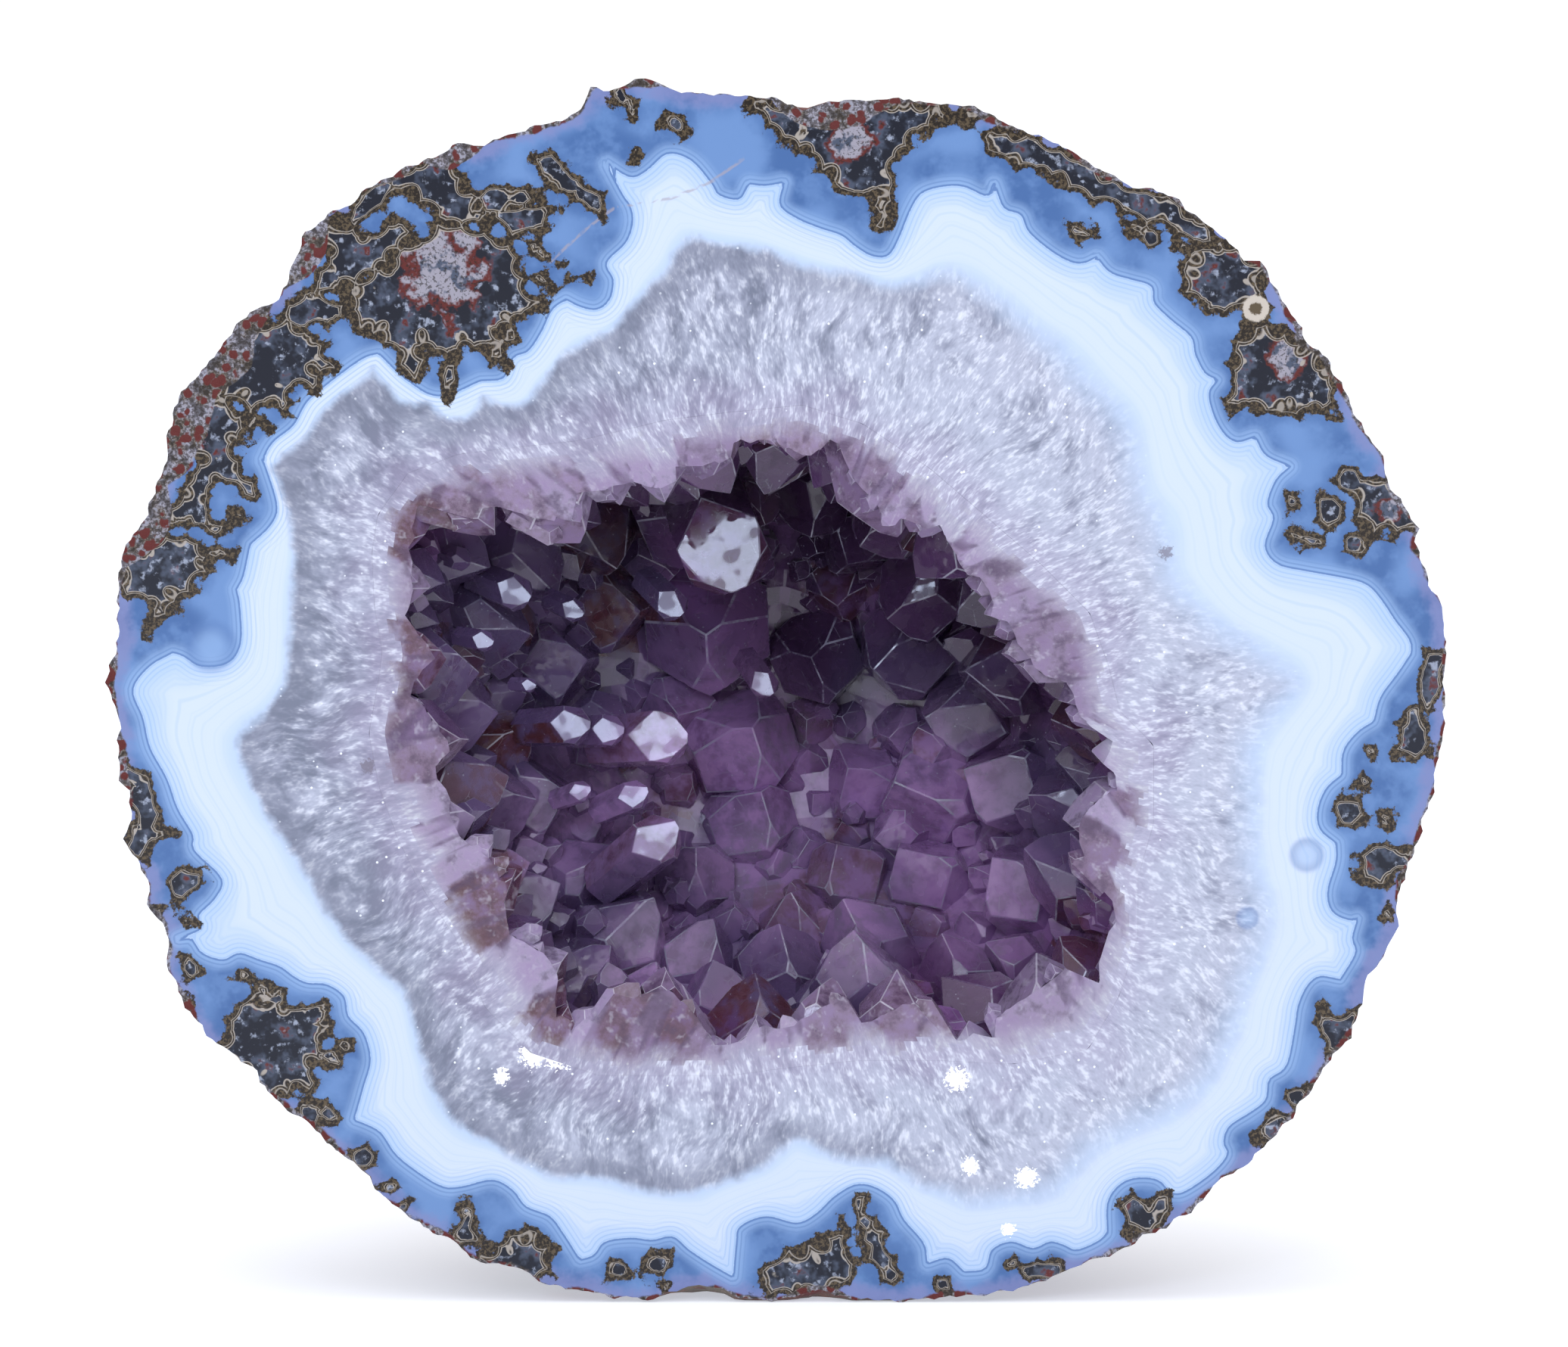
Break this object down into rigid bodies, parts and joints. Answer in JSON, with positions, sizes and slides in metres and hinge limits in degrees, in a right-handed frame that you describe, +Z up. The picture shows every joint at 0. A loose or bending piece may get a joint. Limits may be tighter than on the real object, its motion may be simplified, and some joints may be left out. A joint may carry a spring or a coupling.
{
  "type": "geode",
  "caption": "Half of a roundish agate nodule, sawn flat in front and rough behind, with an open hollow lined with amethyst points, standing upright on a small flat spot.",
  "frame": {"origin": "on the floor under the middle of the stone, in both level directions", "axes": "+Z up, -Y out of the sawn face, +X to the right when the sawn face is looked at"},
  "size_m": [0.1296, 0.058, 0.1186],
  "materials": {
    "agate": "polished in front, rough rind behind",
    "amethyst": "natural crystal faces"
  },
  "bodies": {
    "root": {"agate_shell": "agate", "amethyst_crust": "amethyst"}
  },
  "joints": []
}
